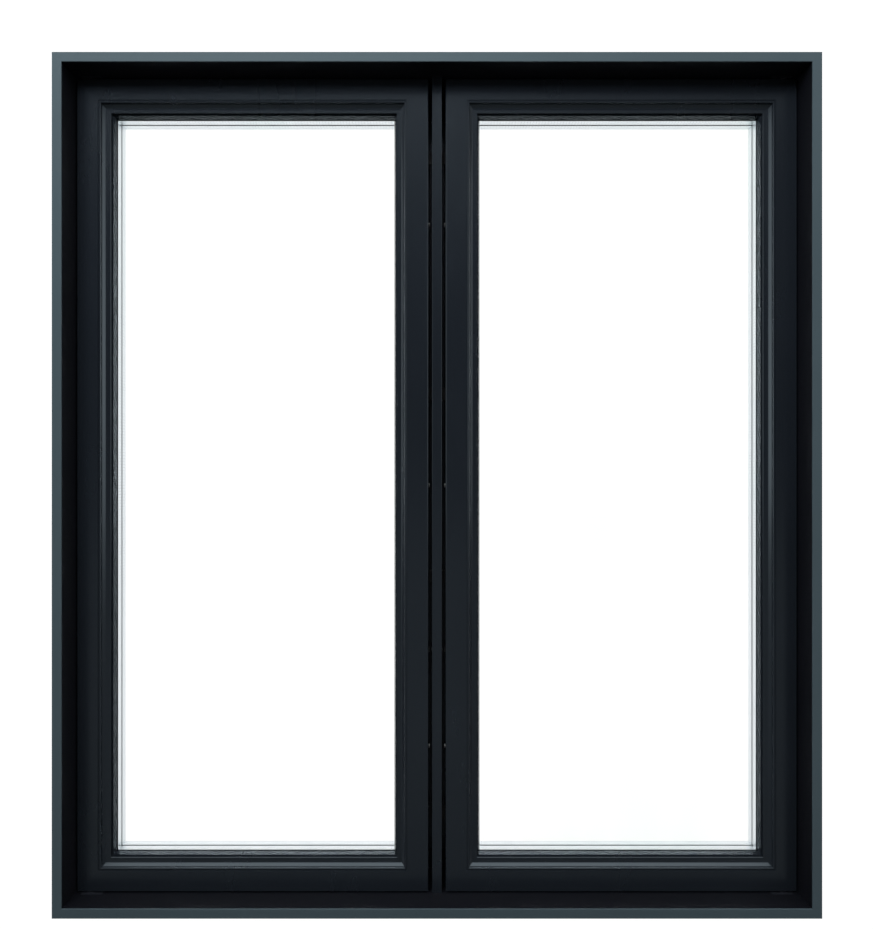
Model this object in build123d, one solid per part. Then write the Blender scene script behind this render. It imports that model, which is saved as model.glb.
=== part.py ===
from build123d import *
import os
from math import acos, cos, pi, radians, sin, tan

# Double casement window: two outward-opening sashes either side of a fixed slender mullion.
# X runs to the right as seen from outdoors, Y runs from outdoors to the room, Z is up.
# The origin is on the underside of the sill, at mid-width and mid-depth of the frame.

# Outer frame, millimetres
width = 1200.0
height = 1350.0
rim = 15.0                # frame thickness seen from outdoors
frame_wall = 2.2
reveal_depth = 42.0       # from the front of the cover strips back to the sash face
seal_space = 4.0          # between the back of the sash and the stop
stop_depth = 14.0
stop_lap = 32.0           # how far the stop stands in past the rim
nose_web = 34.0           # place of the first web, behind the frame's front
middle_web = 38.0         # from the first web to the second

# Cover strips that clip on the front of the frame
cover_skin = 2.0
cover_round = 0.5
clip_leg = 3.0
clip_length = 5.7
clip_play = 0.3

# Mullion
mullion_face = 15.8
mullion_gap = 6.2         # mullion to sash
mullion_wall = 2.4
mullion_flange = 76.0
mullion_round = 0.8

# Sash profile
sash_gap = 2.0            # frame to sash
sash_depth = 72.0
sash_wall = 2.4
face_width = 34.0
front_leg = 26.0          # depth of the sash's outer edge
edge_step = 12.0          # hardware channel behind that edge
arris_round = 1.6

# Moulding between the flat face and the glass, from the face inwards
quirk = 1.6
quirk_sink = 1.0
astragal = 3.2
astragal_fall = 2.0
riser_lean = 1.2
riser = 5.6
tread = 5.2
tread_fall = 0.8
ovolo = 3.8
ovolo_fall = 3.8
fillet_flat = 3.0
groove = 1.6
groove_sink = 1.0
rake = 2.4
sloped_share = 0.25       # of a quirk's or groove's width, for each of its sloped sides
crown_place = 0.55        # highest line of the astragal, as a share of its width
crown_sink = 0.2          # depth of that line under the face, as a share of the quirk's

# Glazing: three panes and two spacers
glass_setback = 20.0      # sash face to the outer pane
pane = 4.0
spacer_depth = 12.0
spacer_height = 10.0
spacer_reveal = 0.2       # how far the spacer stands past the sightline
glass_cover = 14.0        # glass edge behind the sightline
edge_space = 5.0          # glass edge to the rebate floor
nib_gap = 0.3             # between the moulding's nib and the glass
gasket_depth = 3.0
gasket_height = 9.0
bead_foot = 14.5          # width of a bead against its gasket
bead_top = 5.0            # width of a bead at the room face
bead_wall = 1.6
bead_clip = 2.5
bead_clip_depth = 1.2
block_length = 80.0

# Stop weatherstrip
strip_width = 5.5
strip_base = 1.2
strip_clear = 0.3
strip_inset = 2.0         # from the edge of the stop

# Corner cleats
cleat_leg = 60.0
fit = 0.3                 # clearance of hidden pieces in their chambers
cut_past = 1.0            # how far a cut runs past the face that it opens

# Concealed pivots
pivot_in = 20.0           # pivot axis from the sash's outer edge
pivot_back = 7.0          # pivot axis behind the sash face
pin_radius = 3.0
pin_clear = 0.05
pin_length = 13.0         # inside the sash
collar_radius = 6.0
pivot_short = 12.0        # block length towards the jamb
pivot_long = 22.0         # block length away from the jamb
bush_height = 16.0
pivot_block_depth = 21.0
pin_lead = 0.8            # bevel at the end of a pin

# Locking gear on the mullion's room side
lock_height = 380.0
lever_out = 15.5          # middle of a lever from the middle of the mullion
lever_width = 8.0
lever_reach = 104.0
lever_root = 10.0
lever_tip = 7.0
paddle_length = 26.0
paddle_width = 14.0
paddle_corner = 4.2
paddle_edge = 1.2
lever_flat = 0.4          # flat left at the round end of the arm
lever_angle = 60.0        # either side of straight out into the room
axle_back = 6.0           # lever axle behind the front of the flange
axle_radius = 2.5
axle_seat = 0.02          # axle in the cheeks
module = 1.5
teeth = 12
pressure_angle = 20.0
tooth_foot = 1.0          # sunk in the pinion's disc
backlash = 0.35
rack_addendum = 1.0
pinion_addendum = 1.2
dedendum = 1.4
rack_root = 1.7
rack_past = 1.5           # teeth past the pinion's travel at each end
case_width = 19.0
case_height = 11.0
case_length = 110.0
case_wall = 1.8
case_round = 3.0
cheek = 2.0
cheek_half = 9.0
lever_play = 0.6          # lever to the sides of the case's slot
swing_room = 1.5          # past the lever at each end of its swing

# Tie bars, rollers and keepers
bar_base = 1.8            # mullion side to bar
bar_thick = 2.5
bar_wide = 12.0
bar_end = 95.0            # bar end from the frame's outer edge
rack_foot = 8.0           # rack's body ahead of its pitch line
rack_lap = 3.0            # how far that body laps the bar's edge
roller_radius = 3.5
roller_pin = 1.5
roller_length = 7.0
roller_gap = 0.1          # bar to roller
roller_heights = (230.0, 675.0, 1120.0)
guide_heights = (120.0, 520.0, 830.0, 1230.0)
guide_length = 20.0
guide_jaw = 2.4
guide_lip = 1.4
guide_hold = 2.0
keeper_thick = 3.2
keeper_length = 26.0
keeper_start = 7.0        # keeper's lower end above the roller's centre at rest
keeper_reach = 10.6       # how far a keeper stands out of the stile
keeper_root = 4.0
keeper_lead = 1.4         # bevel along the lower edge that meets the roller

# Pull handles
handle_height = 675.0
handle_grip = 120.0
handle_out = 28.0
handle_radius = 3.5
handle_bend = 9.0
handle_foot = 18.0
handle_foot_thick = 3.0
foot_corner = 2.1

# Holes for the screws that fix the frame to the wall, and the screws of the lock cases
fixing_radius = 3.8
fixing_back = 49.0        # behind the sash face
fixing_heights = (200.0, 500.0, 850.0, 1150.0)
case_screw = 1.9          # radius of the shank
case_screw_head = 3.6
case_screw_length = 15.0

# Planes and edges that follow from the sizes above
frame_depth = reveal_depth + sash_depth + seal_space + stop_depth
y_front = -frame_depth / 2
y_nose = y_front + cover_skin
y_face = y_front + reveal_depth
y_back = y_face + sash_depth
y_stop = y_back + seal_space
y_room = y_stop + stop_depth
stop_reach = rim + stop_lap
moulding_width = (
    quirk + astragal + riser_lean + tread + ovolo + fillet_flat + groove + rake
)
sightline = face_width + moulding_width
rebate_floor = sightline - glass_cover - edge_space
gasket_front = glass_setback - gasket_depth
glass_back = glass_setback + 3 * pane + 2 * spacer_depth
bead_front = glass_back + gasket_depth
sash_left = -width / 2 + rim + sash_gap
sash_right = -mullion_face / 2 - mullion_gap
sash_bottom = rim + sash_gap
sash_top = height - rim - sash_gap
pivot_x = sash_left + pivot_in
pivot_y = y_face + pivot_back
axle_y = y_stop + axle_back
pitch_radius = module * teeth / 2
rack_pitch_y = axle_y - pitch_radius
bar_x = mullion_face / 2 + bar_base
bar_y = rack_pitch_y - rack_foot + rack_lap - bar_wide / 2

room = Vector(0, 1, 0)
nodes = {}


def outline(*points):
    """A flat face inside straight edges."""
    return make_face(Polyline(*points, close=True))


def slab(low, high):
    """A block between two opposite corners."""
    size = [abs(b - a) for a, b in zip(low, high)]
    centre = [(a + b) / 2 for a, b in zip(low, high)]
    return Pos(*centre) * Box(*size)


def chamber(low, high):
    """The opening of a hollow profile, between two corners of its section."""
    size = [b - a for a, b in zip(low, high)]
    return Pos((low[0] + high[0]) / 2, (low[1] + high[1]) / 2) * Rectangle(*size)


def run(section, middle, inward, length):
    """One length of profile, mitred at both ends; the section runs inward from its outer edge."""
    along = inward.cross(room)
    body = extrude(Plane(middle, x_dir=inward, z_dir=along) * section, length / 2, both=True)
    for end in (along, along * -1):
        cut = Plane(middle + end * (length / 2), z_dir=end + inward)
        body = split(body, bisect_by=cut, keep=Keep.BOTTOM)
    return body.solid()


def surround(section, left, right, bottom, top):
    """Four mitred lengths round a rectangle, with the profile's outer edge on it."""
    x = (left + right) / 2
    z = (bottom + top) / 2
    return {
        "left": run(section, Vector(left, 0, z), Vector(1, 0, 0), top - bottom),
        "right": run(section, Vector(right, 0, z), Vector(-1, 0, 0), top - bottom),
        "bottom": run(section, Vector(x, 0, bottom), Vector(0, 0, 1), right - left),
        "top": run(section, Vector(x, 0, top), Vector(0, 0, -1), right - left),
    }


def ring(section, left, right, bottom, top):
    """Four mitred lengths joined at the corners into one piece."""
    sides = list(surround(section, left, right, bottom, top).values())
    return (sides[0] + sides[1:]).solid()


def frame_section():
    """The frame's hollow profile, from its outer edge and with its depth in the frame's Y."""
    slot = (rim - clip_leg) / 2 - clip_play
    slot_end = y_nose + clip_length + clip_play
    web = y_front + nose_web
    second = web + middle_web
    body = outline(
        (0, y_nose),
        (slot, y_nose),
        (slot, slot_end),
        (rim - slot, slot_end),
        (rim - slot, y_nose),
        (rim, y_nose),
        (rim, y_stop),
        (stop_reach, y_stop),
        (stop_reach, y_room),
        (0, y_room),
    )
    inside = rim - frame_wall
    body -= chamber((frame_wall, slot_end + frame_wall), (inside, web))
    body -= chamber((frame_wall, web + frame_wall), (inside, second))
    body -= chamber((frame_wall, second + frame_wall), (inside, y_stop))
    body -= chamber(
        (frame_wall, y_stop + frame_wall), (stop_reach - frame_wall, y_room - frame_wall)
    )
    return body


def cover_section():
    """A cover strip's profile: a skin over the frame's nose, with a leg that clips in its groove."""
    skin = chamber((0, y_front), (rim, y_nose))
    skin = fillet(skin.vertices().group_by(Axis.Y)[0], cover_round)
    leg = chamber(
        ((rim - clip_leg) / 2, y_nose), ((rim + clip_leg) / 2, y_nose + clip_length)
    )
    return (skin + leg).face()


def moulding_line():
    """The moulding's surface, from the edge of the flat face to its nib at the glass."""
    nib = glass_setback - nib_gap
    x = face_width + quirk
    bead_end = (x + astragal, astragal_fall)
    foot = (bead_end[0] + riser_lean, bead_end[1] + riser)
    edge = (foot[0] + tread, foot[1] + tread_fall)
    flat = (edge[0] + ovolo, edge[1] + ovolo_fall)
    channel = flat[0] + fillet_flat
    quirk_slope = quirk * sloped_share
    groove_slope = groove * sloped_share
    quirk_line = Polyline(
        (0, 0),
        (face_width, 0),
        (face_width + quirk_slope, quirk_sink),
        (x - quirk_slope, quirk_sink),
        (x, quirk_sink / 2),
    )
    bead_middle = (x + astragal * crown_place, quirk_sink * crown_sink)
    bead_line = ThreePointArc((x, quirk_sink / 2), bead_middle, bead_end)
    steps = Polyline(bead_end, foot, edge)
    bulge = (edge[0] + ovolo * sin(pi / 4), edge[1] + ovolo_fall * (1 - cos(pi / 4)))
    ovolo_line = ThreePointArc(edge, bulge, flat)
    rest = Polyline(
        flat,
        (channel, flat[1]),
        (channel + groove_slope, flat[1] + groove_sink),
        (channel + groove - groove_slope, flat[1] + groove_sink),
        (channel + groove, flat[1]),
        (sightline, nib),
    )
    return [quirk_line, bead_line, steps, ovolo_line, rest]


def sash_sections():
    """The sash's outer and inner hollow shells, which are rolled together behind the front leg."""
    nib = glass_setback - nib_gap
    clip_y = bead_front + bead_clip
    clip_low = rebate_floor - bead_clip_depth - clip_play / 2
    back = Polyline(
        (sightline, nib),
        (sightline - rake, nib),
        (sightline - rake, gasket_front),
        (rebate_floor, gasket_front),
        (rebate_floor, clip_y - clip_play),
        (clip_low, clip_y - clip_play),
        (clip_low, clip_y + bead_clip + clip_play),
        (rebate_floor, clip_y + bead_clip + clip_play),
        (rebate_floor, sash_depth),
        (edge_step, sash_depth),
        (edge_step, front_leg),
        (0, front_leg),
        (0, 0),
    )
    body = make_face(Wire([e for line in moulding_line() + [back] for e in line.edges()]))
    body = fillet(body.vertices().group_by(Axis.X)[0], arris_round)
    front_floor = gasket_front - sash_wall
    rear_wall = rebate_floor - sash_wall - bead_clip_depth - clip_play
    middle = (front_leg + sash_depth) / 2
    step_in = edge_step + sash_wall
    body -= chamber((sash_wall, sash_wall), (face_width, front_floor))
    body -= chamber((sash_wall, gasket_front), (rear_wall, front_leg - sash_wall))
    body -= chamber((step_in, front_leg + sash_wall), (rear_wall, middle - sash_wall))
    body -= chamber((step_in, middle), (rear_wall, sash_depth - sash_wall))
    outer = body & chamber((0, 0), (sightline, front_leg))
    inner = body & chamber((0, front_leg), (sightline, sash_depth))
    return [(Pos(0, y_face) * shell).face() for shell in (outer, inner)]


def bead_section():
    """A glazing bead: a hollow wedge that slopes back from the glass, with a foot that clips in."""
    low = rebate_floor
    wedge = outline(
        (low, bead_front),
        (low + bead_foot, bead_front),
        (low + bead_top, sash_depth),
        (low, sash_depth),
    )
    hollow = offset(wedge, -bead_wall, kind=Kind.INTERSECTION)
    clip_y = bead_front + bead_clip
    clip = chamber((low - bead_clip_depth, clip_y), (low, clip_y + bead_clip))
    return Pos(0, y_face) * (wedge - hollow + clip).face()


def strip_section():
    """The stop's weatherstrip: a flat base with a round bulb towards the sash."""
    base = chamber((0, y_stop - strip_base), (strip_width, y_stop))
    radius = (seal_space - strip_clear) / 2
    bulb = Pos(strip_width / 2, y_stop - radius) * Circle(radius)
    return (base + bulb).face()


def cleat(corner, across, up, low, high, depth):
    """An L-shaped corner block inside a chamber that lies from low to high behind the outer edge."""
    def at(a, b, y):
        return corner + across * a + up * b + room * y

    leg_one = slab(tuple(at(low, low, depth[0])), tuple(at(low + cleat_leg, high, depth[1])))
    leg_two = slab(tuple(at(low, low, depth[0])), tuple(at(high, low + cleat_leg, depth[1])))
    return (leg_one + leg_two).solid()


def cleats(left, right, bottom, top, low, high, depth):
    """The four corner blocks of a rectangle."""
    made = []
    for x, across in ((left, Vector(1, 0, 0)), (right, Vector(-1, 0, 0))):
        for z, up in ((bottom, Vector(0, 0, 1)), (top, Vector(0, 0, -1))):
            made.append(cleat(Vector(x, 0, z), across, up, low, high, depth))
    return made


def flank(radius):
    """Half the angle of a pinion's involute tooth at a radius."""
    def involute(angle):
        return tan(angle) - angle

    pressure = radians(pressure_angle)
    base = pitch_radius * cos(pressure)
    at_pitch = pi / (2 * teeth) - backlash / (2 * pitch_radius)
    return at_pitch + involute(pressure) - involute(acos(min(1.0, base / radius)))


def pinion_tooth(angle):
    """One tooth of the pinion about the origin, pointing at an angle in degrees."""
    base = pitch_radius * cos(radians(pressure_angle))
    tip = pitch_radius + pinion_addendum
    radii = (pitch_radius - dedendum - tooth_foot, base, (base + tip) / 2, tip)
    up = [(r, flank(max(r, base))) for r in radii]
    down = [(r, -half) for r, half in reversed(up)]
    points = [(r * cos(a), r * sin(a)) for r, a in up + down]
    return Rot(0, 0, angle) * outline(*points)


def lever_profile():
    """A lever's side outline about its axle, pointing along X: disc, teeth, arm and paddle."""
    root = pitch_radius - dedendum
    arm_end = lever_reach - paddle_length
    arm = outline(
        (0, -lever_root / 2),
        (arm_end, -lever_tip / 2),
        (lever_reach, -lever_tip / 2),
        (lever_reach, lever_tip / 2),
        (arm_end, lever_tip / 2),
        (0, lever_root / 2),
    )
    arm = fillet(arm.vertices().group_by(Axis.X)[-1], (lever_tip - lever_flat) / 2)
    profile = Circle(root) + arm
    for step in range(-teeth // 4, teeth // 4 + 1):
        profile += pinion_tooth(180 + step * 360 / teeth)
    return profile - Circle(axle_radius + pin_clear)


def lever():
    """The left lever at rest, pointing up into the room."""
    pointing = (0, cos(radians(lever_angle)), sin(radians(lever_angle)))
    side = Plane((-lever_out, axle_y, lock_height), x_dir=pointing, z_dir=(1, 0, 0))
    body = extrude(side * lever_profile(), lever_width / 2, both=True)
    pad_middle = lever_reach - paddle_length / 2
    pad = Pos(pad_middle, 0, 0) * Box(paddle_length, lever_tip, paddle_width)
    pad = fillet(pad.edges().filter_by(Axis.Y), paddle_corner)
    rims = pad.edges().group_by(Axis.Y)
    pad = fillet(rims[0] + rims[-1], paddle_edge)
    return (body + side.location * pad).solid()


def bar_reach():
    """Lowest and highest point of the rack, which the pinion rolls along."""
    pitch = pi * module
    travel = radians(2 * lever_angle) * pitch_radius
    below = (int(travel / pitch) + rack_past) * pitch
    return -below, rack_past * pitch


def rack():
    """The toothed block on the left tie bar, with a gap facing the pinion at rest."""
    pitch = pi * module
    low, high = bar_reach()
    inner = -bar_x
    outer = -lever_out - lever_width / 2
    base = rack_pitch_y - rack_root
    block = slab(
        (outer, base - rack_foot + rack_root, lock_height + low - pitch / 2),
        (inner, base, lock_height + high + pitch / 2),
    )
    slope = tan(radians(pressure_angle))
    tip_half = pitch / 4 - backlash / 2 - rack_addendum * slope
    root_half = pitch / 4 - backlash / 2 + rack_root * slope
    tooth = outline(
        (base, -root_half),
        (rack_pitch_y + rack_addendum, -tip_half),
        (rack_pitch_y + rack_addendum, tip_half),
        (base, root_half),
    )
    side = Plane((0, 0, 0), x_dir=(0, 1, 0), z_dir=(1, 0, 0))
    count = round((high - low) / pitch) + 1
    for index in range(count):
        at = lock_height + low + index * pitch
        solid = extrude(side * (Pos(0, at) * tooth), lever_width)
        block += Pos(outer, 0, 0) * solid
    return block


def roller_centre(z):
    """Middle of the left roller's inner end at a height."""
    return Vector(-bar_x - bar_thick, bar_y, z)


def along_x(radius, start, length):
    """A round bar from a point, towards -X."""
    return extrude(Plane(start, z_dir=(-1, 0, 0)) * Circle(radius), length)


def tie_bar():
    """The left tie bar, the rack riveted over its edge and the pins of its rollers."""
    bar = slab(
        (-bar_x - bar_thick, bar_y - bar_wide / 2, bar_end),
        (-bar_x, bar_y + bar_wide / 2, height - bar_end),
    )
    made = [bar.solid(), (rack() - bar).solid()]
    for z in roller_heights:
        made.append(along_x(roller_pin, roller_centre(z), roller_length + fit).solid())
    return made


def rollers():
    """The left tie bar's rollers, one on each pin."""
    made = []
    for z in roller_heights:
        start = roller_centre(z) - Vector(roller_gap, 0, 0)
        body = along_x(roller_radius, start, roller_length)
        made.append((body - along_x(roller_pin + pin_clear, start, roller_length)).solid())
    return made


def guide(z):
    """A clip on the mullion's side that the left tie bar slides in."""
    inner = -mullion_face / 2
    half = bar_wide / 2 + fit
    outer = -bar_x - bar_thick - fit - guide_lip
    body = slab(
        (outer, bar_y - half - guide_jaw, z - guide_length / 2),
        (inner, bar_y + half + guide_jaw, z + guide_length / 2),
    )
    way = slab(
        (-bar_x - bar_thick - fit, bar_y - half, z - guide_length),
        (-bar_x + fit, bar_y + half, z + guide_length),
    )
    mouth = slab(
        (outer - cut_past, bar_y - half + guide_hold, z - guide_length),
        (-bar_x, bar_y + half - guide_hold, z + guide_length),
    )
    return (body - way - mouth).solid()


def keeper_box(z, clear):
    """The block of a keeper plate in the left sash's lock stile, grown by a clearance."""
    back = y_back - sash_wall - fit
    edge = sash_right - edge_step
    low = z + keeper_start
    return slab(
        (edge - sash_wall - keeper_root - clear, back - keeper_thick - clear, low - clear),
        (edge + keeper_reach, back + clear, low + keeper_length + clear),
    )


def keeper(z):
    """A keeper plate with its leading edge rounded."""
    body = keeper_box(z, 0)
    tip = body.edges().filter_by(Axis.X).group_by(Axis.Z)[0].group_by(Axis.Y)[0]
    return chamfer(tip, keeper_lead).solid()


def lock_case():
    """The left lock case: a moulded shell over the lever's hub, with two cheeks for its axle."""
    def box(half_width, low, high, half_length):
        return slab(
            (-lever_out - half_width, low, lock_height - half_length),
            (-lever_out + half_width, high, lock_height + half_length),
        )

    top = y_room + case_height
    body = box(case_width / 2, y_room, top, case_length / 2)
    rounded = body.edges().group_by(Axis.Y)[-1] + body.edges().filter_by(Axis.Y)
    body = fillet(rounded, case_round)
    body -= box(
        case_width / 2 - case_wall,
        y_room - cut_past,
        top - case_wall,
        case_length / 2 - case_screw_boss(),
    )
    slot = lever_width / 2 + lever_play
    body -= box(slot, top - 2 * case_wall, top + cut_past, swing_reach(top))
    for side in (-1, 1):
        middle = -lever_out + side * (lever_width / 2 + fit + cheek / 2)
        body += slab(
            (middle - cheek / 2, axle_y - 2 * axle_radius, lock_height - cheek_half),
            (middle + cheek / 2, top - case_wall / 2, lock_height + cheek_half),
        )
    axle = Plane((-lever_out, axle_y, lock_height), z_dir=(1, 0, 0)) * Circle(axle_radius)
    body -= extrude(axle, case_width, both=True)
    for z in case_screw_places():
        body -= Pos(-lever_out, top, z) * screw_shape(fit)
    return body.solid()


def case_screw_boss():
    """Length of the solid end of a lock case, which takes its screw."""
    return 3 * case_screw_head


def case_screw_places():
    """Heights of a lock case's two screws."""
    reach = case_length / 2 - case_screw_boss() / 2
    return (lock_height - reach, lock_height + reach)


def screw_shape(clear):
    """A countersunk case screw, grown by a clearance, with its head at the origin."""
    head = case_screw_head + clear
    shank = case_screw + clear
    half = outline(
        (0, 0),
        (head, 0),
        (shank, shank - head),
        (shank, -case_screw_length),
        (0, -case_screw_length),
    )
    return revolve(half, Axis.Y)


def case_screws():
    """The left lock case's countersunk screws."""
    top = y_room + case_height
    return [Pos(-lever_out, top, z) * screw_shape(0) for z in case_screw_places()]


def axle():
    """The left lever's axle, held in the case's cheeks."""
    length = lever_width + 2 * (fit + cheek)
    start = Vector(-lever_out + length / 2, axle_y, lock_height)
    return along_x(axle_radius - axle_seat, start, length).solid()


def pivot_block(floor, inward, collar):
    """A left pivot: a block in the frame's rebate floor, with a collar and the pin."""
    block = slab(
        (pivot_x - pivot_short, pivot_y - pivot_block_depth / 2, floor),
        (
            pivot_x + pivot_long,
            pivot_y + pivot_block_depth / 2,
            floor - inward * (rim - frame_wall - fit),
        ),
    )
    seat = Plane((pivot_x, pivot_y, floor), z_dir=(0, 0, inward))
    block += extrude(seat * Circle(collar_radius), collar)
    block += extrude(seat * Circle(pin_radius), sash_gap + pin_length)
    tip = block.edges().filter_by(GeomType.CIRCLE).sort_by(Axis.Z)
    return chamfer(tip[-1] if inward > 0 else tip[0], pin_lead).solid()


def pivot_pocket(floor, inward):
    """The opening in the frame's rebate floor that a left pivot block sits in."""
    return slab(
        (
            pivot_x - pivot_short - fit,
            pivot_y - pivot_block_depth / 2 - fit,
            floor + inward * cut_past,
        ),
        (
            pivot_x + pivot_long + fit,
            pivot_y + pivot_block_depth / 2 + fit,
            floor - inward * (frame_wall + fit),
        ),
    )


def bush(edge, inward, clear):
    """The body of a left pivot's bush in the sash, grown by a clearance."""
    return slab(
        (pivot_x - pivot_short - clear, y_face + sash_wall + fit - clear, edge),
        (
            pivot_x + pivot_long + clear,
            y_face + gasket_front - sash_wall - fit + clear,
            edge + inward * (bush_height + clear),
        ),
    )


def bored_bush(edge, inward):
    """A pivot bush with the bore for the pin."""
    bore = Plane((pivot_x, pivot_y, edge), z_dir=(0, 0, inward))
    hole = extrude(bore * Circle(pin_radius + pin_clear), pin_length + fit)
    return (bush(edge, inward, 0) - hole).solid()


def frame():
    """The outer frame's four hollow lengths, with pockets for the pivots and screw holes."""
    sides = surround(frame_section(), -width / 2, width / 2, 0, height)
    for end, floor, inward in (("bottom", rim, 1), ("top", height - rim, -1)):
        pocket = pivot_pocket(floor, inward)
        sides[end] = sides[end] - pocket - mirror(pocket, about=Plane.YZ)
    for side, edge in (("left", -width / 2), ("right", width / 2)):
        for z in fixing_heights:
            centre = Plane((edge, y_face + fixing_back, z), z_dir=(1, 0, 0))
            sides[side] -= extrude(centre * Circle(fixing_radius), 2 * rim, both=True)
    names = {"bottom": "sill", "top": "head", "left": "jamb_left", "right": "jamb_right"}
    for side, name in names.items():
        nodes["frame_" + name] = sides[side].solid()
    for side, strip in surround(cover_section(), -width / 2, width / 2, 0, height).items():
        nodes["cover_" + side] = strip
    low = frame_wall + fit
    second = y_front + nose_web + middle_web + frame_wall + fit
    nodes["frame_corner_cleats"] = Compound(
        cleats(-width / 2, width / 2, 0, height, low, rim - low, (second, y_stop - fit))
    )


def mullion():
    """The slender T-shaped mullion, cut back at its ends for the frame's stops."""
    half = mullion_face / 2
    wing = mullion_flange / 2
    inner = half - mullion_wall
    web = outline(
        (-half, y_face),
        (half, y_face),
        (half, y_stop),
        (wing, y_stop),
        (wing, y_room),
        (-wing, y_room),
        (-wing, y_stop),
        (-half, y_stop),
    )
    web = fillet(web.vertices().group_by(Axis.Y)[0], mullion_round)
    middle = (y_face + y_stop) / 2
    web -= chamber((-inner, y_face + mullion_wall), (inner, middle - mullion_wall))
    web -= chamber((-inner, middle), (inner, y_stop - mullion_wall))
    web -= chamber(
        (mullion_wall - wing, y_stop + mullion_wall), (wing - mullion_wall, y_room - mullion_wall)
    )
    body = extrude(Plane((0, 0, rim), x_dir=(1, 0, 0), z_dir=(0, 0, 1)) * web, height - 2 * rim)
    for low, high in ((0, stop_reach), (height - stop_reach, height)):
        body -= slab((-2 * wing, y_stop, low), (2 * wing, y_room + cut_past, high))
    slot = 2 * (fit + cheek) + lever_width + 2 * fit
    half_slot = swing_reach(y_room)
    for side in (-1, 1):
        body -= slab(
            (side * lever_out - slot / 2, y_stop - cut_past, lock_height - half_slot),
            (side * lever_out + slot / 2, y_room + cut_past, lock_height + half_slot),
        )
        for z in case_screw_places():
            hole = Plane((side * lever_out, y_room + cut_past, z), z_dir=(0, -1, 0))
            body -= extrude(hole * Circle(case_screw + pin_clear), mullion_wall + 2 * cut_past)
    nodes["mullion"] = body.solid()
    plug = []
    for floor, inward in ((rim, 1), (height - rim, -1)):
        plug.append(
            slab(
                (fit - inner, y_face + mullion_wall + fit, floor),
                (inner - fit, middle - mullion_wall - fit, floor + inward * cleat_leg / 2),
            )
        )
    nodes["mullion_plugs"] = Compound([p.solid() for p in plug])


def swing_reach(y):
    """Half the length of a slot that the lever swings through, at a depth."""
    return (y - axle_y) * tan(radians(lever_angle)) + lever_root + swing_room


def sash(pieces):
    """The left sash: its frame, glazing and hardware."""
    edges = (sash_left, sash_right, sash_bottom, sash_top)
    outer, inner = [surround(shell, *edges) for shell in sash_sections()]
    for end, edge, inward in (("bottom", sash_bottom, 1), ("top", sash_top, -1)):
        outer[end] -= bush(edge - inward, inward, fit)
    for z in roller_heights:
        inner["right"] -= keeper_box(z, fit / 2)
    names = {
        "left": "stile_hinge", "right": "stile_lock", "bottom": "rail_bottom", "top": "rail_top"
    }
    for side, name in names.items():
        pieces[name] = Compound([outer[side].solid(), inner[side].solid()])
    low = edge_step + sash_wall + fit
    high = rebate_floor - sash_wall - bead_clip_depth - clip_play - fit
    middle = (front_leg + sash_depth) / 2
    start = y_face + front_leg + sash_wall + fit
    depth = (start, y_face + middle - sash_wall - fit)
    pieces["corner_cleats"] = Compound(cleats(*edges, low, high, depth))
    pieces["pivot_bushes"] = Compound(
        [bored_bush(sash_bottom, 1), bored_bush(sash_top, -1)]
    )
    pieces["keepers"] = Compound([keeper(z) for z in roller_heights])


def glazing(pieces):
    """The left sash's triple glazing unit, with its gaskets, blocks and beads."""
    edges = (sash_left, sash_right, sash_bottom, sash_top)
    cover = sightline - glass_cover
    depth = glass_setback
    for name in ("outer", "middle", "inner"):
        pieces["glass_" + name] = slab(
            (sash_left + cover, y_face + depth, sash_bottom + cover),
            (sash_right - cover, y_face + depth + pane, sash_top - cover),
        ).solid()
        depth += pane + spacer_depth
    inner = sightline + spacer_reveal
    depth = glass_setback + pane
    for name in ("outer", "inner"):
        bar = chamber(
            (inner - spacer_height, y_face + depth), (inner, y_face + depth + spacer_depth)
        )
        pieces["spacer_" + name] = ring(bar.face(), *edges)
        depth += pane + spacer_depth
    for name, at in (("outer", gasket_front), ("inner", glass_back)):
        strip = chamber(
            (cover, y_face + at), (cover + gasket_height, y_face + at + gasket_depth)
        )
        pieces["glazing_gasket_" + name] = ring(strip.face(), *edges)
    beads = surround(bead_section(), *edges)
    pieces["glazing_beads"] = Compound(list(beads.values()))
    pieces["setting_blocks"] = Compound(setting_blocks(cover))


def setting_blocks(cover):
    """The blocks that carry the glass in the left sash and keep it off its sides."""
    low, high = y_face + glass_setback, y_face + glass_back
    made = []
    quarter = (sash_right - sash_left) / 4
    for x in (sash_left + quarter, sash_right - quarter):
        made.append(
            slab(
                (x - block_length / 2, low, sash_bottom + rebate_floor),
                (x + block_length / 2, high, sash_bottom + cover),
            ).solid()
        )
    for edge, inward in ((sash_left, 1), (sash_right, -1)):
        for z in (sash_bottom + quarter, sash_top - quarter):
            made.append(
                slab(
                    (edge + inward * rebate_floor, low, z - block_length / 2),
                    (edge + inward * cover, high, z + block_length / 2),
                ).solid()
            )
    return made


def pull_handle():
    """The left sash's handle: a bowed round bar on two feet."""
    x = sash_right - rebate_floor + handle_radius
    low = handle_height - handle_grip / 2
    high = handle_height + handle_grip / 2
    out = y_back + handle_out
    path = FilletPolyline(
        (x, y_back, low), (x, out, low), (x, out, high), (x, y_back, high), radius=handle_bend
    )
    start = Plane((x, y_back, low), z_dir=(0, 1, 0))
    body = sweep(start * Circle(handle_radius), path=path)
    for z in (low, high):
        foot = slab(
            (x - handle_radius, y_back, z - handle_foot / 2),
            (x + handle_radius, y_back + handle_foot_thick, z + handle_foot / 2),
        )
        body += fillet(foot.edges().filter_by(Axis.Y), foot_corner)
    return body.solid()


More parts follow.
